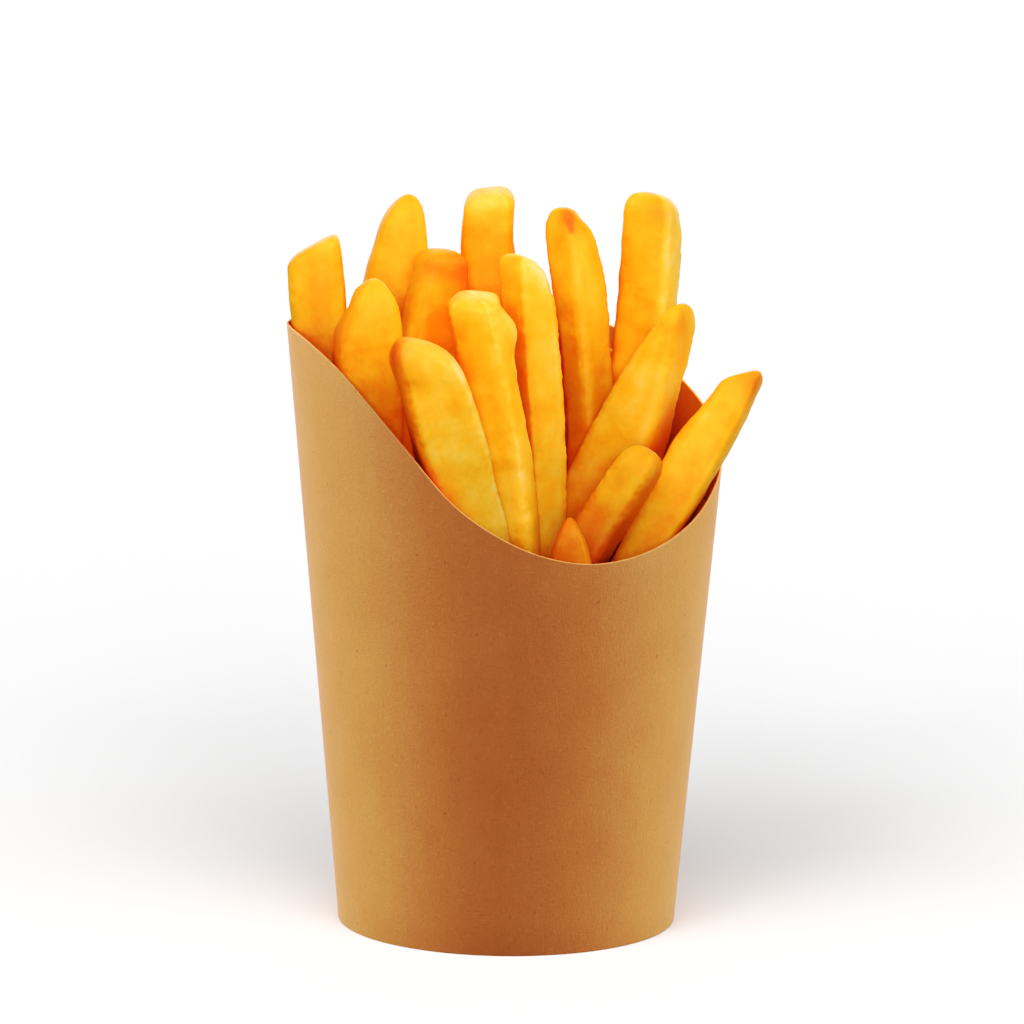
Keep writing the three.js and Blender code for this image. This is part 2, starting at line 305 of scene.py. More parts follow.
wall = bmesh.new()
corners = [wall.verts.new((0, -radius, z)) for radius, z in section]
sides = [wall.edges.new((corners[k - 1], corners[k])) for k in range(len(corners))]
bmesh.ops.spin(wall, geom=corners + sides, cent=(0, 0, 0), axis=(0, 0, 1), dvec=(0, 0, 0),
               angle=math.tau, steps=WALL_STEPS, use_merge=True, use_duplicate=False)
bmesh.ops.remove_doubles(wall, verts=wall.verts, dist=MERGE)
bmesh.ops.recalc_face_normals(wall, faces=wall.faces)


def goes_round(edge):
    """Whether an edge lies along one of the wall's rings, rather than across the board."""
    return abs(edge.verts[0].co.xy.length - edge.verts[1].co.xy.length) < BOARD / 5


rim_edges = [e for e in wall.edges
             if all(v.co.z > CUP_HEIGHT - LEVEL for v in e.verts) and goes_round(e)]
fold_edges = [e for e in wall.edges
              if all(v.co.z < LEVEL for v in e.verts) and goes_round(e)]
print(len(rim_edges), "rim edges,", len(fold_edges), "fold edges")

# %% [markdown]
# The rim follows its curve before its edges are rounded, so the rounding keeps one size. The
# rounded faces and the flat cut between them get the raw edge's material, with its painted
# highlight.

# %% Follow the rim, then round the rim and the fold
RIM_ROUNDING = 0.2
FOLD_ROUNDING = 0.25
ROUND_STEPS = 3
for vert in wall.verts:
    if vert.co.z > HEM_HEIGHT + LEVEL:
        share = (vert.co.z - HEM_HEIGHT) / (CUP_HEIGHT - HEM_HEIGHT)
        z = HEM_HEIGHT + share * (rim_height(angle_of(vert.co)) - HEM_HEIGHT)
        radius = vert.co.xy.length
        grown = (radius + SLOPE * (z - vert.co.z)) / radius
        vert.co = (vert.co.x * grown, vert.co.y * grown, z)
bmesh.ops.bevel(wall, geom=rim_edges, affect="EDGES", offset=RIM_ROUNDING, offset_type="OFFSET",
                segments=ROUND_STEPS, profile=0.5, material=-1)
for face in wall.faces:
    middle = face.calc_center_median()
    if middle.z > rim_height(angle_of(middle)) - 1.5 * RIM_ROUNDING:
        face.material_index = 1
bmesh.ops.bevel(wall, geom=fold_edges, affect="EDGES", offset=FOLD_ROUNDING, offset_type="OFFSET",
                segments=ROUND_STEPS, profile=0.5, material=-1)
for face in wall.faces:
    face.smooth = True
print(sum(face.material_index for face in wall.faces), "faces of cut edge")

# %% [markdown]
# The lap is where the blank's two ends are glued over each other, at the back. It is the same board
# once more, so it is a grid bent round the cone and given the board's thickness. It is sunk into
# the wall a little, so that no light shows between the two.

# %% The glued lap
LAP_WIDTH = 9
LAP_ANGLE = 172
LAP_SUNK = 0.3
lap = bmesh.new()
bmesh.ops.create_grid(lap, x_segments=10, y_segments=24, size=0.5)
lap_degrees = math.degrees(LAP_WIDTH / TOP_RADIUS)
for vert in lap.verts:
    angle = LAP_ANGLE + vert.co.x * lap_degrees
    z = (vert.co.y + 0.5) * rim_height(angle)
    radius = outside(z) - LAP_SUNK
    turn = math.radians(angle)
    vert.co = (radius * math.sin(turn), -radius * math.cos(turn), z)
bmesh.ops.recalc_face_normals(lap, faces=lap.faces)
first = lap.faces[:][0]
if first.normal.dot(first.calc_center_median().xy.to_3d()) < 0:
    bmesh.ops.reverse_faces(lap, faces=lap.faces)
bmesh.ops.solidify(lap, geom=lap.faces, thickness=-(BOARD + LAP_SUNK))
bmesh.ops.recalc_face_normals(lap, faces=lap.faces)
for vert in lap.verts:
    vert.co.z = max(0, vert.co.z)
print("lap of", len(lap.faces), "faces")

# %% [markdown]
# The lap joins the wall's mesh, because on the real cup the two are one blank. The finished wall
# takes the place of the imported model's.

# %% Put the wall in place
lap_mesh = bpy.data.meshes.new("lap")
lap.to_mesh(lap_mesh)
lap.free()
wall.from_mesh(lap_mesh)
cup_wall = place(wall, "kraft_wall", kraft, cut_edge_with_painted_highlight)
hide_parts("cup_wall")

# %% [markdown]
# ## The bottom disc
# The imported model's disc, with its skirt in the wall's slot, has the right shape already, so it
# stays and only takes the board's material.

# %% Give the bottom disc its board
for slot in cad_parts["cup_base"].material_slots:
    slot.material = kraft
print("cup_base is made of", kraft.name)

# %% [markdown]
# ## Fried potato
# A fry is a stick of potato that was cut square, so it has four long faces and soft edges. Frying
# dries its skin to a thin golden crust over white flesh. The crust is matt with a film of oil, so
# it is fairly rough and mirrors a little. Light goes a few millimetres in and comes out orange,
# which is why the gaps in a heap glow, so the shader scatters red deepest and blue hardly at all.
#
# Three numbers are stored at each point of a fry as it is made. Tone says how pale the crust is,
# from deep orange at 0 to cream at 1, and it also carries painted shading on the fry's sides and a
# painted highlight on its cap. Brown says how far a tip or an edge that stood out of the fat has
# browned, and in places it is painted shade. Shade makes a whole fry duller, and darkens its lower
# part as painted shade, where less light reaches into the heap. An attribute follows each fry,
# which no pattern in space could do.

# %% Material: fried potato
potato, tree, shader = start_material("fried_potato", {
    "Roughness": 0.58, "IOR": 1.45, "Subsurface Weight": 0.3,
    "Subsurface Radius": (1.0, 0.42, 0.12), "Subsurface Scale": 0.0025})
where = add(tree, "ShaderNodeTexCoord").outputs["Object"]
tone = add(tree, "ShaderNodeAttribute", attribute_name="tone").outputs["Fac"]
brown_and_painted_shade = add(tree, "ShaderNodeAttribute", attribute_name="brown_and_painted_shade").outputs["Fac"]
shade = add(tree, "ShaderNodeAttribute", attribute_name="shade").outputs["Fac"]

# %% [markdown]
# The tone drifts over patches of about 5 mm, as a crust takes colour unevenly, and then picks the
# crust's colour from a ramp of four golds.

# %% The crust's colour
CRUST_GOLDS = [(0.5, "#fbb034"), (0.8, "#fac25a")]
patches = add(tree, "ShaderNodeTexNoise", {"Vector": where, "Scale": per(5), "Detail": 3.0,
                                           "Roughness": 0.55}).outputs["Fac"]
drift = add(tree, "ShaderNodeMapRange", {"Value": patches, "From Min": 0.3, "From Max": 0.7,
                                         "To Min": -0.18, "To Max": 0.18}).outputs[0]
golden = add(tree, "ShaderNodeMath", {0: tone, 1: drift}, operation="ADD",
             use_clamp=True).outputs[0]
crust = add(tree, "ShaderNodeValToRGB", {"Fac": golden})
ramp = crust.color_ramp
ramp.elements[0].position, ramp.elements[0].color = 0.0, linear("#f78e04")
ramp.elements[1].position, ramp.elements[1].color = 1.0, linear("#fbce80")
for position, hexcode in CRUST_GOLDS:
    ramp.elements.new(position).color = linear(hexcode)

# %% [markdown]
# Close up, a crust is mottled by grains of about a millimetre, and a few pits show where steam came
# out. The pits are made as the board's flecks were: one possible pit for each Voronoi cell, every
# 4 mm, and only a third of the cells have one.

# %% Mottling and pits
grain = add(tree, "ShaderNodeTexNoise", {"Vector": where, "Scale": per(1.1), "Detail": 4.0,
                                         "Roughness": 0.6}).outputs["Fac"]
mottle = add(tree, "ShaderNodeMapRange", {"Value": grain, "From Min": 0.3, "From Max": 0.72,
                                          "To Min": 0.95, "To Max": 1.02}).outputs[0]
holes = add(tree, "ShaderNodeTexVoronoi", {"Vector": where, "Scale": per(4)}).outputs
chance = add(tree, "ShaderNodeSeparateColor", {"Color": holes["Color"]}).outputs[0]
pit = add(tree, "ShaderNodeMapRange", {"Value": chance, "From Min": 0.65, "From Max": 1.0,
                                       "To Min": 0.0, "To Max": 0.11}).outputs[0]
near = add(tree, "ShaderNodeMath", {0: holes["Distance"], 1: pit},
           operation="LESS_THAN").outputs[0]
pitted = add(tree, "ShaderNodeMapRange", {"Value": near, "To Min": 1.0, "To Max": 0.86}).outputs[0]
mottle = add(tree, "ShaderNodeMath", {0: mottle, 1: pitted}, operation="MULTIPLY").outputs[0]
# The mottle is darkened by the shade attribute: a fry's dullness, and painted shade on its lower
# part.
mottle_dull_and_painted_shade = add(tree, "ShaderNodeMath", {0: mottle, 1: shade}, operation="MULTIPLY").outputs[0]
skin = add(tree, "ShaderNodeMix", {0: 1.0, 6: crust.outputs["Color"], 7: mottle_dull_and_painted_shade},
           data_type="RGBA", blend_type="MULTIPLY").outputs[2]

# %% [markdown]
# Browning has a ragged edge, so a noise makes it stronger here and weaker there before it is laid
# over the skin. The same brown also lays painted shade where some spots stand for shade. Low
# blisters, 2.6 mm across and at most 0.3 mm high, catch the light.

# %% Browning, painted shade and blisters
torn = add(tree, "ShaderNodeTexNoise", {"Vector": where, "Scale": per(3.0),
                                        "Detail": 4.0}).outputs["Fac"]
ragged = add(tree, "ShaderNodeMath", {0: torn, 1: 0.7, 2: 0.65},
             operation="MULTIPLY_ADD").outputs[0]
browned_and_painted_shade = add(tree, "ShaderNodeMath", {0: brown_and_painted_shade, 1: ragged}, operation="MULTIPLY",
              use_clamp=True).outputs[0]
# The brown of browned tips, which also lays the painted shade that some spots carry.
fried = add(tree, "ShaderNodeMix", {0: browned_and_painted_shade, 6: skin, 7: linear("#de6d16")},
            data_type="RGBA").outputs[2]
tree.links.new(fried, shader.inputs["Base Color"])

blisters = add(tree, "ShaderNodeTexNoise", {"Vector": where, "Scale": per(2.6),
                                            "Detail": 2.0}).outputs["Fac"]
relief = add(tree, "ShaderNodeMath", {0: blisters, 1: 1.6, 2: grain},
             operation="MULTIPLY_ADD").outputs[0]
bump = add(tree, "ShaderNodeBump", {"Height": relief, "Strength": 0.25, "Distance": 0.0003})
tree.links.new(bump.outputs[0], shader.inputs["Normal"])
print(potato.name, len(tree.nodes), "nodes")

# %% [markdown]
# ## One fry
# Every fry starts as the same blank, a tube with rings along it and a capped end. A function then
# says where each ring lies and how wide it is, as a cook would describe a fry: where its two ends
# are, how thick it is at the foot, the belly and the tip, how it bows and twists, and how the knife
# cut its end. Noise makes the crust uneven. One function serves the whole heap, so the fries at the
# back are made as carefully as those in front. Their blank is coarser, because they show less.

# %% The blank
FINE = {"sides": 36, "rings": 130}
PLAIN_MESH = {"sides": 20, "rings": 30}
CAP_INSET = 0.45


def blank(sides, rings):
    """A capped tube of unit radius, from z = 0 to z = 1."""
    bm = bmesh.new()
    bmesh.ops.create_cone(bm, cap_ends=True, cap_tris=False, segments=sides, radius1=1, radius2=1,
                          depth=1, matrix=Matrix.Translation((0, 0, 0.5)))
    along = [e for e in bm.edges if abs(e.verts[0].co.z - e.verts[1].co.z) > 0.5]
    bmesh.ops.subdivide_edges(bm, edges=along, cuts=rings - 2, use_grid_fill=False)
    caps = [f for f in bm.faces if len(f.verts) == sides]
    bmesh.ops.inset_individual(bm, faces=caps, thickness=CAP_INSET, use_even_offset=True)
    bmesh.ops.poke(bm, faces=[f for f in bm.faces if len(f.verts) == sides])
    mesh = bpy.data.meshes.new("fry_blank")
    bm.to_mesh(mesh)
    bm.free()
    return mesh


def nearest_ring(z, rings):
    """Which of the blank's rings a point at this height belongs to."""
    return min(rings - 1, max(0, math.floor(z * (rings - 1) + 0.5)))


fine_blank = blank(**FINE)
plain_blank = blank(**PLAIN_MESH)
print("blanks of", len(fine_blank.vertices), "and", len(plain_blank.vertices), "vertices")

# %% [markdown]
# The rings aren't evenly spread. The last few at each end crowd together on a rounded profile, and
# the rest lie closer near the tip, which is what shows. The width goes smoothly from the foot to
# the belly and then to the tip.

# %% Rings and widths along a fry
END_RINGS = 7
SMALLEST_RING = 0.12
CROWDED_TO_TIP = 0.75
FOOT_DEPTH = 6


def rings_of(count, length, depth_tip, dome):
    """For each ring, how far along the fry it is and which share of the section it has."""
    rings = []
    for i in range(count):
        from_foot, from_tip = i, count - 1 - i
        near = min(from_foot, from_tip)
        if near < END_RINGS:
            reach = 1 - math.cos(near / END_RINGS * math.pi / 2)
            share = max(SMALLEST_RING, (1 - (1 - reach) ** dome) ** (1 / dome))
            depth = FOOT_DEPTH if from_foot < from_tip else depth_tip
            t = reach * depth / length
            rings.append((t if from_foot < from_tip else 1 - t, share))
        else:
            low, high = FOOT_DEPTH / length, 1 - depth_tip / length
            body = ((i - END_RINGS) / (count - 1 - 2 * END_RINGS)) ** CROWDED_TO_TIP
            rings.append((low + (high - low) * body, 1))
    return rings


def width_at(width, belly, t):
    foot, middle, tip = width
    if t < belly:
        s = t / belly
        return foot + (middle - foot) * s * s * (3 - 2 * s)
    return middle + (tip - middle) * ((t - belly) / (1 - belly)) ** 2


def fry_axes(tip, foot, turn):
    """A fry's own directions: along it, across its front face, and out of that face."""
    along = (Vector(tip) - Vector(foot)).normalized()
    across = Vector((0, 1, 0)).cross(along).normalized()
    across.rotate(Matrix.Rotation(math.radians(turn), 3, along))
    return along, across, across.cross(along)


# %% [markdown]
# The crust is uneven at three scales: broad lumps where the potato shrank, blisters, and a fine
# roughness. Crumb is roughest on the four cut edges, where the knife broke the cells. Each pair in
# CRUST is a height and a size in millimetres. Streaks run down a fry, as its fibres did, so their
# noise hardly changes along it. Each pair in STREAKS is how strong they are and how close together.

# %% The crust's unevenness
CRUST = [(0.5, 14), (0.28, 4.5), (0.05, 1.4)]
CRUST_SHIFT = (7.3, 3.1, 5.7)
CRUMB_SIZE = 1.1
STREAKS = [(0.16, 2.2), (0.14, 5), (0.12, 11)]
STREAK_CHANGE = 3
STREAK_SHIFT = 9
FACE_EDGE = 0.45
FACE_BLEND = 0.35


def crust_height(point, seed, angle, crumb):
    """How far the crust stands out here, in millimetres. The seed makes each fry's its own."""
    p = point + Vector([seed * step for step in CRUST_SHIFT])
    edge = math.sin(2 * angle) ** 4
    lumps = sum(height * noise.noise(p / size) for height, size in CRUST)
    return lumps + crumb * edge * noise.noise(p / CRUMB_SIZE)


def streak_at(angle, t, seed):
    """How much paler or deeper the crust is on this line down the fry."""
    round_it = Vector((math.cos(angle), math.sin(angle), 0))
    lengthwise = Vector((0, 0, STREAK_CHANGE * t + STREAK_SHIFT * seed))
    return sum(depth * noise.noise(count * round_it + lengthwise) for depth, count in STREAKS)


def marks_at(point, marks):
    """The sum of some soft round marks, each a centre, a size in millimetres and an amount."""
    return sum(amount * math.exp(-((point - centre).length / size) ** 2)
               for centre, size, amount in marks)


# This mask places the painted shading on a fry's left and right side faces.
def facing(c):
    """How much a point of the section belongs to the side face it looks towards."""
    s = min(1, max(0, (c - FACE_EDGE) / FACE_BLEND))
    return s * s * (3 - 2 * s)


# %% [markdown]
# A fry's section is a superellipse, between a circle and a square. Its ends are rounded over a
# given depth, and the tip may be cut on a slant, to the side or towards the front. The blank's
# points are moved one by one, and each takes its tone, browning and shade with it, and with them
# the painted light and shade that these carry. On the end caps every line down the fry meets at
# one point, so streaks and sides fade out towards it.

# %% The fry
LAYERS = ("tone", "brown_and_painted_shade", "shade")
END_MARGIN = 2
CAP_FADE = 1.5
PAINTED_SHADE_START = 8
PAINTED_SHADE_LENGTH = 30


def add_fry(bm, mesh, rings, seed, tip, foot, bow, width, belly, depth, turn, cut, blunt, face=0,
            dome=2.6, twist=0, square=4.6, tone=0.5, painted_left_shading=0.0, painted_right_shading=0.0, painted_cap_highlight=0.0, dull=0.0,
            painted_shade_downwards=0.0, crumb=0.2, spots=(), patches=(), bumps=()):
    """Adds one fry to the heap, and returns the room in millimetres that it leaves to the wall.

    Spots are browned, patches are paler or deeper, and bumps stand out or in by a few millimetres.
    Some spots and patches are painted shade and painted light. Each is a share of the length, a
    direction round the section in degrees, a size in millimetres and an amount. Painted shading
    makes the left and right sides paler or deeper, and a painted highlight makes the cap paler. A
    fry may be dull all over, and painted shade may darken it downwards, where less light reaches
    into the heap."""
    bm.from_mesh(mesh)
    bm.verts.ensure_lookup_table()
    verts = bm.verts[-len(mesh.vertices):]
    start, axis = Vector(foot), Vector(tip) - Vector(foot)
    along, straight_across, straight_through = fry_axes(tip, foot, turn)
    table = rings_of(rings, axis.length, blunt, dome)
    rise = [math.tan(math.radians(cut)), math.tan(math.radians(face))]
    end_zone = blunt + END_MARGIN + width[2] * abs(rise[0]) + depth * abs(rise[1])

    def spot(t, share, slant, angle):
        """A point of the smooth fry, and the direction straight out of it."""
        turned = Matrix.Rotation(math.radians(twist * (1 - t)), 3, along)
        across, through = turned @ straight_across, turned @ straight_through
        c, s = math.cos(angle), math.sin(angle)
        a = math.copysign(abs(c) ** (2 / square), c) * share * width_at(width, belly, t) / 2
        b = math.copysign(abs(s) ** (2 / square), s) * share * depth / 2
        tilt = a * rise[0] - b * rise[1]
        point = start + axis * t + across * a + through * b + along * (slant * tilt)
        point.x += bow * 4 * t * (1 - t)
        return point, (across * a + through * b).normalized()

    browned_and_painted_shade, toned, raised = [
        [(spot(t, 1, 0, math.radians(direction + turn + twist * (1 - t)))[0], size, amount)
         for t, direction, size, amount in marks] for marks in (spots, patches, bumps)]
    tone_and_painted_light_layer, brown_and_painted_shade_layer, dull_and_painted_shade_layer = [bm.verts.layers.float[name] for name in LAYERS]
    for vert in verts:
        t, share = table[nearest_ring(vert.co.z, rings)]
        angle = math.atan2(vert.co.y, vert.co.x)
        end = max(0, 1 - (1 - t) * axis.length / end_zone) if t > 0.5 else 0
        slant = end * end * (3 - 2 * end)
        point, out = spot(t, share * min(1, vert.co.xy.length), slant, angle)
        # Painted shading: the side faces are made paler or deeper, as light and shade fall on them.
        painted_side_shading = painted_left_shading * facing(-math.cos(angle)) + painted_right_shading * facing(math.cos(angle))
        off_centre = min(1, CAP_FADE * share * vert.co.xy.length)
        # The tone takes the streaks, the painted side shading, a painted highlight towards the cap,
        # and the patches.
        vert[tone_and_painted_light_layer] = (tone + off_centre * (streak_at(angle, t, seed) + painted_side_shading)
                            + painted_cap_highlight * end + marks_at(point, toned))
        vert[brown_and_painted_shade_layer] = marks_at(point, browned_and_painted_shade)
        # Painted shade: darker below the tip, where less light reaches into the heap.
        below = max(0, tip[2] - point.z - PAINTED_SHADE_START) / PAINTED_SHADE_LENGTH
        vert[dull_and_painted_shade_layer] = 1 - dull - painted_shade_downwards * min(1, below)
        raise_by = crust_height(point, seed, angle, crumb) + marks_at(point, raised)
        vert.co = point + out * share * raise_by
    walled = [v.co for v in verts if v.co.z < rim_height(angle_of(v.co)) + BOARD]
    return min((inside(p.z) - p.xy.length for p in walled), default=TOP_RADIUS)


# %% [markdown]
# ## The fries in front
# These are the fries that give the heap its outline, each with the place, thickness and browning
# of a real one. Some of their spots and patches are painted shade and painted light. A mark's
# direction is 0 on the fry's right-hand side and 90 on its front.

# %% Sizes of the front fries
FRONT_FRIES = [
    # Cut on a slant, against the left wall.
    dict(tip=(-40.5, -2, 140), foot=(-28.3, -1, 48), bow=-1.5, width=(10.2, 11.9, 10.9),
         belly=0.6, depth=11, turn=1, cut=22, blunt=2.5, dome=3.2, tone=0.44, painted_left_shading=-0.1,
         painted_right_shading=-0.1, painted_shade_downwards=0.62, crumb=0.24, spots=[(0.92, 85, 4, 0.35)],
         patches=[(0.77, 90, 6, -0.35)], bumps=[(0.97, 0, 3, 0.3)]),
    # In front of the scoop's left side.
    dict(tip=(-27.5, -22, 134.5), foot=(-22, -15, 45), bow=-3.3, width=(12, 14, 9.5), belly=0.72,
         depth=11, turn=8, cut=0, blunt=10, dome=2, tone=0.26, painted_left_shading=-0.15, painted_right_shading=0.12, painted_cap_highlight=0.15,
         painted_shade_downwards=0.1, spots=[(0.86, 165, 4, 0.4)], patches=[(0.9, 110, 6, -0.2)],
         bumps=[(0.985, 180, 2.6, 1.1), (0.945, 180, 2.4, -1.3), (0.88, 180, 5, 0.9)]),
    # Tall and pointed, behind those two.
    dict(tip=(-22.3, 12, 149.4), foot=(-25.5, 10, 45), bow=-2.6, width=(12, 15.6, 8.4),
         belly=0.6, depth=11, turn=8, cut=21, blunt=9, dome=2.2, tone=0.28, painted_right_shading=0.2, painted_cap_highlight=0.1,
         spots=[(0.93, 175, 4, 0.3)], bumps=[(0.9, 180, 5, -0.8)]),
    # A square tip that has browned.
    dict(tip=(-14.3, -1, 139.2), foot=(-26.7, -2, 48), bow=0.6, width=(12, 14, 8.6), belly=0.6,
         depth=10, turn=25, cut=4, blunt=3.5, tone=0.19, painted_left_shading=0.1,
         spots=[(0.975, 45, 4.5, 0.65), (0.93, 20, 4.5, 0.4), (0.96, 110, 3, 0.6)],
         patches=[(0.84, 80, 5, -0.25)], bumps=[(0.93, 180, 3, -0.9)]),
    # Big and twisted, with a brown corner. Brown spots and deeper patches down its lower left are
    # painted shade, and paler patches on its right are painted light.
    dict(tip=(-17.9, -35.5, 123.6), foot=(-1.7, -28, 38), bow=2.2, width=(11, 14, 12.4),
         belly=0.6, depth=11, turn=0, twist=66, cut=-24, blunt=7, tone=0.6, painted_left_shading=-0.65,
         painted_right_shading=0.3, dull=0.09, painted_shade_downwards=0.26, crumb=0.32,
         spots=[(0.985, 168, 3.6, 1.2), (0.7, 138, 3, 0.6), (0.65, 130, 3, 1),
                (0.6, 122, 3, 1), (0.55, 112, 3.2, 1)],
         patches=[(0.93, 115, 3, -0.35), (0.86, 70, 3, -0.35), (0.89, 25, 4.5, 0.12),
                  (0.6, 25, 7, 0.1), (0.67, 125, 4, -0.5), (0.6, 115, 4, -0.6),
                  (0.53, 105, 4, -0.6)],
         bumps=[(0.97, 180, 4, 0.9), (0.99, 10, 3, -0.8), (0.9, 130, 2.5, -0.5)]),
    # Its neighbour, with a knob on its right side. Brown spots and deeper patches down its left side
    # are painted shade.
    dict(tip=(-7.6, -26, 131.7), foot=(3.9, -19, 35), bow=2, width=(9.3, 11.2, 10.1), belly=0.6,
         depth=9.6, turn=-18, cut=-8, blunt=2.4, dome=3.2, square=3.6, tone=0.54, painted_left_shading=-0.45,
         painted_right_shading=0.12, face=10, painted_cap_highlight=0.1, painted_shade_downwards=0.1, crumb=0.32,
         spots=[(0.93, 155, 3.5, 0.3), (0.86, 155, 4, 0.4), (0.79, 155, 4, 0.25)],
         patches=[(0.94, 120, 3.5, -0.35), (0.87, 130, 4, -0.3), (0.78, 140, 5, -0.3),
                  (0.67, 140, 5, -0.15), (0.635, 70, 4, 0.2)],
         bumps=[(0.92, 0, 3.5, 1.4), (0.975, 0, 2.5, -1.2)]),
    # The tallest, with a cap made pale by a painted highlight.
    dict(tip=(-5, 12, 150.8), foot=(-4.3, 8, 45), bow=-0.1, width=(10, 11.8, 10.3), belly=0.6,
         depth=10.5, turn=0, cut=6, blunt=4, tone=0.1, face=14, painted_cap_highlight=0.5,
         patches=[(0.99, 90, 3.5, 0.4), (0.83, 90, 6, -0.15)], bumps=[(0.905, 0, 3.2, -0.6)]),
    # Slim, in the middle.
    dict(tip=(2, -13, 138.8), foot=(4, -10, 32), bow=3.2, width=(8.6, 9.6, 7.6), belly=0.75,
         depth=9.2, turn=32, cut=-18, blunt=5, tone=0.55, painted_left_shading=-0.42, painted_right_shading=0.1, face=6,
         painted_cap_highlight=0.35, painted_shade_downwards=0.2, crumb=0.3, bumps=[(0.955, 0, 4, -0.5)]),
    # Slim, with a brown crease down its tip.
    dict(tip=(10.6, 8, 147.4), foot=(12, 7, 45), bow=5.6, width=(8.1, 9.8, 7.5), belly=0.6,
         depth=8.3, turn=45, cut=-7, blunt=4.5, dome=2.2, square=3.6, tone=0.36, painted_right_shading=-0.15,
         painted_shade_downwards=0.22,
         spots=[(1, 80, 2.2, 1.1), (0.982, 80, 1.6, 1), (0.966, 82, 1.1, 1.1),
                (0.954, 82, 0.8, 0.8)],
         patches=[(0.97, 60, 4, -0.2), (0.9, 62, 3, 0.18), (0.84, 62, 3, 0.1),
                  (0.78, 62, 3, 0.08), (0.72, 62, 3, 0.12), (0.66, 62, 3, 0.16),
                  (0.6, 62, 3, 0.14), (0.7, 130, 6, -0.08), (0.55, 130, 7, -0.12)],
         bumps=[(0.985, 20, 2.6, -1.7), (0.94, 10, 2.2, 0.1), (0.968, 88, 1.2, -1.1),
                (0.985, 180, 3, -0.4), (0.93, 180, 4, 0.3), (0.84, 180, 5, 0.5),
                (0.87, 0, 6, 0.5), (0.71, 0, 6, -0.5)]),
    # Tall and square, at the right.
    dict(tip=(29.1, 13.5, 150.2), foot=(12, 13, 45), bow=4, width=(10.2, 11.4, 10.6), belly=0.7,
         depth=10.2, turn=-22, cut=-1, blunt=4.5, tone=0.34, painted_right_shading=0.4, painted_cap_highlight=0.12,
         spots=[(0.965, 90, 2.5, 0.5)],
         bumps=[(0.985, 0, 4, -0.6), (0.915, 0, 3, 0.2), (0.985, 180, 4, -0.6)]),
    # Wide and tapering, leaning across it. The deeper patches down its lower right side and the
    # brown spots below its middle are painted shade.
    dict(tip=(35.5, -2, 128.5), foot=(1, -2, 45), bow=0, width=(12, 16.5, 2.4), belly=0.45,
         depth=12, turn=-26, cut=0, blunt=5, dome=2.2, tone=0.68, painted_right_shading=0.05, painted_shade_downwards=0.2,
         spots=[(0.95, 30, 3.5, 0.35), (0.71, 15, 5, 0.35), (0.66, 45, 4, 0.3),
                (0.57, 130, 5, 0.3), (0.5, 110, 6, 0.4)],
         patches=[(0.94, 40, 6, -0.5), (0.72, 15, 6, -0.5), (0.62, 20, 8, -0.55),
                  (0.5, 25, 9, -0.6), (0.42, 60, 12, -0.45)]),
    # Short and blunt, at the scoop. Its lower part is painted shade: two brown spots, a deeper patch
    # and a strong darkening downwards.
    dict(tip=(27.8, -26, 101.3), foot=(-5.2, -25, 45), bow=-0.9, width=(8.4, 9.4, 7.8),
         belly=0.6, depth=9, turn=-20, cut=0, blunt=5, tone=0.32, painted_right_shading=-0.2, dull=0.21,
         painted_shade_downwards=0.85, crumb=0.32,
         spots=[(0.97, 20, 3, 0.25), (0.73, 130, 4, 0.3), (0.65, 50, 5, 0.35)],
         patches=[(0.6, 60, 12, -0.35)]),
    # Long, leaning out over the right wall.
    dict(tip=(47.4, -6, 114.3), foot=(11.5, -29, 47.7), bow=-1.4, width=(10.2, 10.3, 6.9),
         belly=0.72, depth=10.2, turn=-14, cut=40, blunt=2.8, dome=2.8, tone=0.38, painted_right_shading=-0.1,
         painted_shade_downwards=0.3, spots=[(0.98, 40, 4, 0.7)],
         bumps=[(0.86, 180, 5, -0.8), (0.93, 180, 3.5, -0.7)]),
    # A small pointed tip at the scoop's lowest place.
    dict(tip=(11.8, -36, 88.8), foot=(14.5, -30, 45), bow=-0.7, width=(8.2, 9.6, 3), belly=0.6,
         depth=6, turn=0, cut=0, blunt=9, tone=0.06, painted_right_shading=0.2, dull=0.32,
         spots=[(0.97, 90, 8, 0.3)]),
]
print(len(FRONT_FRIES), "front fries")

# %% [markdown]
# ## The fries behind
# The rest of the heap is what anyone sees from the back and from above. The back fries have given
# tips. Short ones fill the middle on a spiral of golden angles, which spreads points evenly, and
# their tips follow the rim down towards the scoop.

# %% Tips of the other fries
BACK_TIPS = [(-34, 18, 122), (-23, 28, 139), (-5.2, 27, 133), (13.4, 28, 129), (30, 24.5, 141),
             (-12, 37.6, 121), (5, 38.5, 119), (-14, 15, 132), (4, 17, 127), (20, 34.2, 116),
             (37, 7, 90)]
SHORT_COUNT = 20
SHORT_RADIUS = 34
SHORT_HEIGHT = 89
SHORT_FALL = (-0.45, 0.45)
GOLDEN_ANGLE = 137.5


def short_tips():
    for i in range(SHORT_COUNT):
        radius = SHORT_RADIUS * math.sqrt((i + 0.5) / SHORT_COUNT)
        angle = math.radians(i * GOLDEN_ANGLE)
        x, y = radius * math.cos(angle), radius * math.sin(angle)
        yield x, y, SHORT_HEIGHT + SHORT_FALL[0] * x + SHORT_FALL[1] * y


plain_tips = [*BACK_TIPS, *short_tips()]
print(len(plain_tips), "other fries")

# %% [markdown]
# These fries are plain, but no two are alike. Sines of a fry's number make it a little wider or
# thinner, bowed, paler or browner. That looks random and comes out the same each time.

# %% Sizes of the other fries
PLAIN_SEED = 20
PLAIN_WIDTH = 9.8
FOOT_TAPER, TIP_TAPER = 1, 1.5
FOOT_HEIGHT = 42
FOOT_INWARD = 0.76
SLANT = 12
WAVE_STEP, TONE_STEP, TURN_STEP, BROWN_STEP = 2.4, 1.7, 37, 40
TONE_RANGE = (0.4, 0.16)
BROWN_RANGE = (0.35, 0.3)


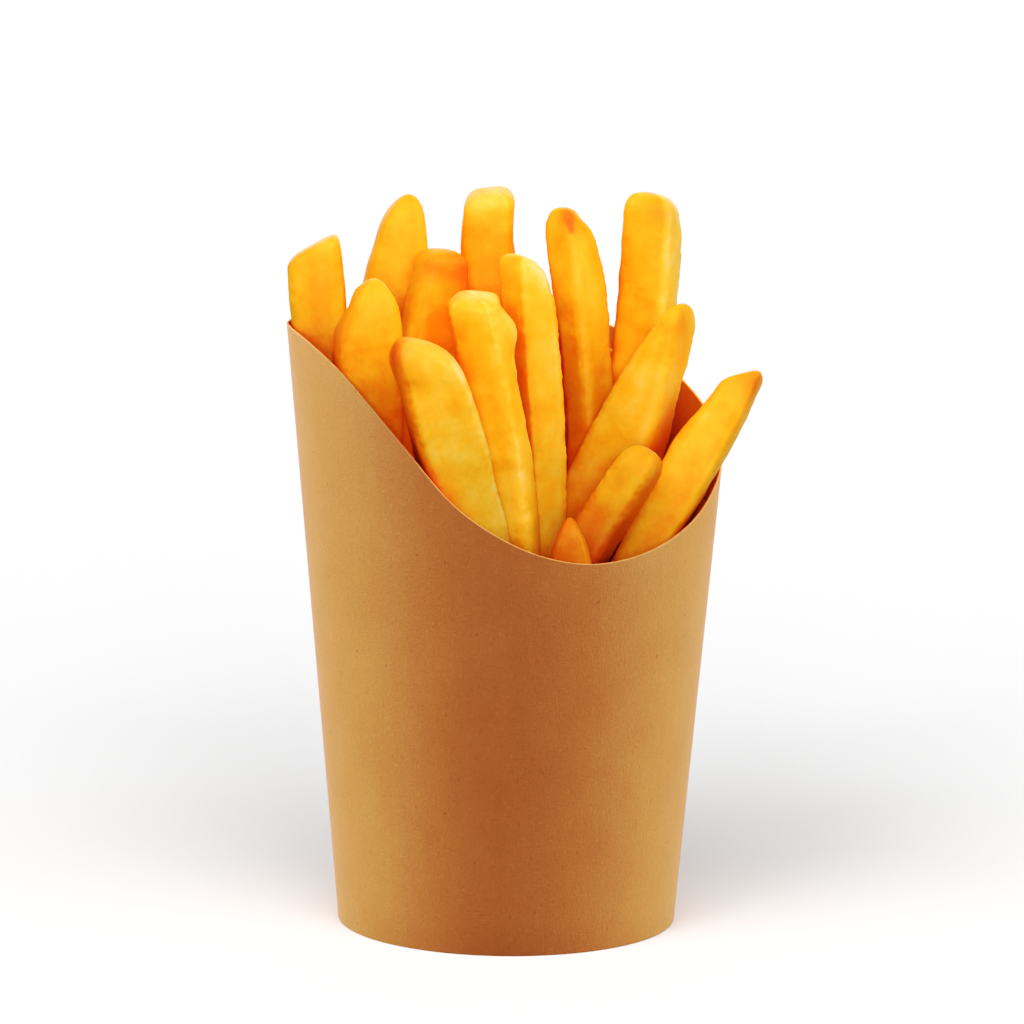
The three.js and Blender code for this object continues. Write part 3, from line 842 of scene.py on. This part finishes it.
def plain_fry(i, tip):
    """What makes up one of the other fries, from its number and its tip."""
    x, y, _ = tip
    wave = math.sin(i * WAVE_STEP)
    return dict(tip=tip, foot=(x * FOOT_INWARD, y * FOOT_INWARD, FOOT_HEIGHT), bow=wave,
                width=(PLAIN_WIDTH - FOOT_TAPER, PLAIN_WIDTH + wave, PLAIN_WIDTH - TIP_TAPER),
                belly=0.6, depth=PLAIN_WIDTH - wave, turn=(i * TURN_STEP) % 90,
                cut=SLANT * wave, blunt=5,
                tone=TONE_RANGE[0] + TONE_RANGE[1] * math.sin(i * TONE_STEP),
                spots=[(0.97, BROWN_STEP * i, 4, BROWN_RANGE[0] + BROWN_RANGE[1] * wave)])


# %% [markdown]
# All the fries go into one mesh, because nobody will take them out one by one. Each says how far it
# stays from the wall. A number below 0 would mean that it cuts the board.

# %% Make the heap
heap = bmesh.new()
for name in LAYERS:
    heap.verts.layers.float.new(name)
rooms = [add_fry(heap, fine_blank, FINE["rings"], seed, **fry)
         for seed, fry in enumerate(FRONT_FRIES)]
rooms += [add_fry(heap, plain_blank, PLAIN_MESH["rings"], PLAIN_SEED + i, **plain_fry(i, tip))
          for i, tip in enumerate(plain_tips)]
print("the nearest fry is", round(min(rooms), 1), "mm inside the wall")
for face in heap.faces:
    face.smooth = True
fries = place(heap, "loose_fries", potato)
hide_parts("fries")

# %% [markdown]
# ## The core
# Between the fries' lower ends the cup is packed with more of the same. None of it can be seen, so
# it is one plain plug of fried potato, spun from a section. It stays clear of the wall.

# %% Make the core
CORE_FOOT = HEM_HEIGHT + BOARD + 2 * GAP
CORE_TOP = 64
CORE_CLEARANCE = 2.5
CORE_STEPS = 48
core = bmesh.new()
for name in LAYERS:
    core.verts.layers.float.new(name)
core_section = [(0, CORE_FOOT), (inside(CORE_FOOT) - CORE_CLEARANCE, CORE_FOOT),
                (inside(CORE_TOP) - CORE_CLEARANCE, CORE_TOP), (0, CORE_TOP)]
points = [core.verts.new((0, -radius, z)) for radius, z in core_section]
lines = [core.edges.new((points[k], points[k + 1])) for k in range(len(points) - 1)]
bmesh.ops.spin(core, geom=points + lines, cent=(0, 0, 0), axis=(0, 0, 1), dvec=(0, 0, 0),
               angle=math.tau, steps=CORE_STEPS, use_merge=True, use_duplicate=False)
bmesh.ops.remove_doubles(core, verts=core.verts, dist=MERGE)
bmesh.ops.recalc_face_normals(core, faces=core.faces)
for vert in core.verts:
    vert[core.verts.layers.float["shade"]] = 1
core_piece = place(core, "packed_core", potato)
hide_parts("fries")

# %% [markdown]
# ## Studio
# The cup stands on a sweep, which is a roll of matt white paper. It has no gloss at all, and gives
# back four fifths of the light, so that a shadow on it still has room to be darker.

# %% Floor
FLOOR_SIZE = 300
PAPER = 0.82
floor_mesh = bpy.data.meshes.new("floor")
floor_bm = bmesh.new()
bmesh.ops.create_grid(floor_bm, x_segments=1, y_segments=1, size=FLOOR_SIZE)
floor_bm.to_mesh(floor_mesh)
floor_bm.free()
floor = bpy.data.objects.new("floor", floor_mesh)
bpy.context.scene.collection.objects.link(floor)
floor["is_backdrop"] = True
sweep = start_material("white_sweep", {
    "Base Color": (PAPER, PAPER, PAPER, 1), "Roughness": 0.9, "Specular IOR Level": 0.0})[0]
floor_mesh.materials.append(sweep)
print(floor.name, "of", sweep.name)

# %% [markdown]
# A studio's large softbox lights all of a small object alike. Far off it acts as a sun with a very
# wide disc, which gives even light and soft shadows. A small softbox close by is an area light, and
# what is nearer to it is lit more. One helper puts either in the studio and turns it to the cup.

# %% Kinds of light
def stand(name, data, towards):
    """Puts up a light that shines back along a direction."""
    light = bpy.data.objects.new(name, data)
    light.rotation_mode = "QUATERNION"
    light.rotation_quaternion = towards.to_track_quat("Z", "Y")
    bpy.context.scene.collection.objects.link(light)
    return light


def soft_light(name, azimuth, elevation, strength, spread):
    """A very large, far soft light, from a direction in degrees from the front and the floor."""
    data = bpy.data.lights.new(name, "SUN")
    data.energy = strength
    data.angle = math.radians(spread)
    a, e = math.radians(azimuth), math.radians(elevation)
    return stand(name, data, Vector((math.sin(a) * math.cos(e), -math.cos(a) * math.cos(e),
                                     math.sin(e))))


def near_softbox(name, position, aim, size, power, colour="#ffffff"):
    """A square softbox close to the cup. Its position and aim are in metres from the cup's foot."""
    data = bpy.data.lights.new(name, "AREA")
    data.size = size
    data.energy = power
    data.color = linear(colour)[:3]
    light = stand(name, data, Vector(position) - Vector(aim))
    light.location = cup_axis + Vector(position)
    light.visible_camera = False
    return light


def lights_only(name, pieces, lights):
    """Keeps some lights to some pieces, as a studio's flags and barn doors do."""
    group = bpy.data.collections.new(name)
    for piece in pieces:
        group.objects.link(piece)
    for light in lights:
        light.light_linking.receiver_collection = group
    print(name, len(lights), "lights on", len(pieces), "pieces")


# %% [markdown]
# In a studio, black cards hang between the lights and the set, so that each part gets its own
# light. Light linking does that here, in three groups. Two softboxes at the board's sides give it
# bright edges and a darker middle, which shows that it is round. The food is lit evenly from all
# sides and above, so its gaps don't turn black. A small warm light inside the cup stands for the
# light that the fries throw on the board behind them.
#
# The sweep has seven lights of its own, in front of the cup and at three heights. Their shadows
# fall behind it and to its sides, and overlap into one that is soft and wide. The sweep gives no
# light back to the cup, because white paper would wash out the food's colour from below.

# %% Set up the lights
SOFT_LIGHTS = {
    "board": [("left_softbox", -78, 22, 2.9, 50), ("right_softbox", 78, 22, 2.9, 50),
              ("left_back_board", -140, 35, 0.8, 50), ("right_back_board", 140, 35, 0.8, 50)],
    "food": [("left_food", -72, 25, 1.3, 50), ("right_food", 70, 22, 1.25, 50),
             ("front_food", 24, 28, 0.15, 70), ("back_food", 180, 24, 1.9, 60),
             ("fill_food", 0, 6, 1.05, 12)],
    "sweep": [("left_high_floor", -50, 52, 0.57, 32), ("right_high_floor", 50, 55, 0.35, 32),
              ("left_floor", -35, 38, 0.82, 32), ("right_floor", 35, 40, 0.49, 32),
              ("front_left_floor", -21, 22, 1.57, 32), ("front_right_floor", 21, 21, 1.34, 32),
              ("front_floor", 4, 18, 1.6, 32)],
}
NEAR_SOFTBOXES = {
    "board": [("upper_left_board", (-0.3, -0.1, 0.35), (-0.04, -0.02, 0.1), 0.2, 0.12),
              ("glow_inside", (0.043, 0.004, 0.125), (0.0365, 0.025, 0.11), 0.03, 0.017,
               "#ffc46e")],
    "food": [("overhead_food", (0.03, -0.13, 0.25), (0, 0, 0.12), 0.2, 0.22)],
    "sweep": [],
}
LIT = {"board": [cup_wall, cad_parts["cup_base"]], "food": [fries, core_piece],
       "sweep": [floor]}
for group, pieces in LIT.items():
    lights_only(group, pieces, [soft_light(*light) for light in SOFT_LIGHTS[group]]
                + [near_softbox(*light) for light in NEAR_SOFTBOXES[group]])
floor.visible_diffuse = False

# %% [markdown]
# The world is a white room. The camera sees it at full strength, so the background is white, and it
# lights the set by a quarter of that, so the lights above can still give it shape.

# %% World
AMBIENT = 0.24
world = bpy.data.worlds.new("studio")
bpy.context.scene.world = world
world.use_nodes = True
tree = world.node_tree
backdrop = tree.nodes["Background"]
seen = add(tree, "ShaderNodeLightPath").outputs["Is Camera Ray"]
glow = add(tree, "ShaderNodeMapRange", {"Value": seen, "To Min": AMBIENT,
                                        "To Max": 1.0}).outputs[0]
backdrop.inputs["Color"].default_value = (1, 1, 1, 1)
tree.links.new(glow, backdrop.inputs["Strength"])
print(world.name, "lights the set by", AMBIENT)

# %% [markdown]
# ## Camera
# A long lens from most of a metre away keeps a small object's sides nearly parallel. The camera
# stands a little above the fries and looks down by less than eight degrees, so the rim's curve
# shows. A print darkens the deepest tones and lifts the middle ones a little, and so does the
# view's curve.

# %% Camera and view
LENS = 137.73
SENSOR = 36
CAMERA_POSITION = Vector((0.00043, -0.8, 0.192775))
LOOKS_DOWN = 7.6703
ROLL = 0.5549
PRINT_CURVE = [(0.078, 0.022), (0.18, 0.117), (0.33, 0.36), (0.66, 0.68)]
camera_data = bpy.data.cameras.new("camera")
camera_data.lens = LENS
camera_data.sensor_width = SENSOR
camera_data.clip_end = 1000
camera = bpy.data.objects.new("camera", camera_data)
camera.matrix_world = (Matrix.Translation(cup_axis + CAMERA_POSITION)
                       @ Matrix.Rotation(math.radians(90 - LOOKS_DOWN), 4, "X")
                       @ Matrix.Rotation(math.radians(ROLL), 4, "Z"))
bpy.context.scene.collection.objects.link(camera)
bpy.context.scene.camera = camera
settings = bpy.context.scene.view_settings
settings.view_transform = "Standard"
settings.use_curve_mapping = True
print_curve = settings.curve_mapping.curves[3]
for tone_in, tone_out in PRINT_CURVE:
    print_curve.points.new(tone_in, tone_out)
settings.curve_mapping.update()
print(round(LENS), "mm lens,", round(CAMERA_POSITION.length, 2), "m from the cup's foot")

# %% [markdown]
# ## Finish
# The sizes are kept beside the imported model's, to see that the dressed part fills the same box.

# %% Sizes and finish
dressed_box = [list(corner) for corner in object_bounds()]
for name, box in (("cad", cad_box), ("visual", dressed_box)):
    print(name, [[round(v * 1000, 1) for v in corner] for corner in box])
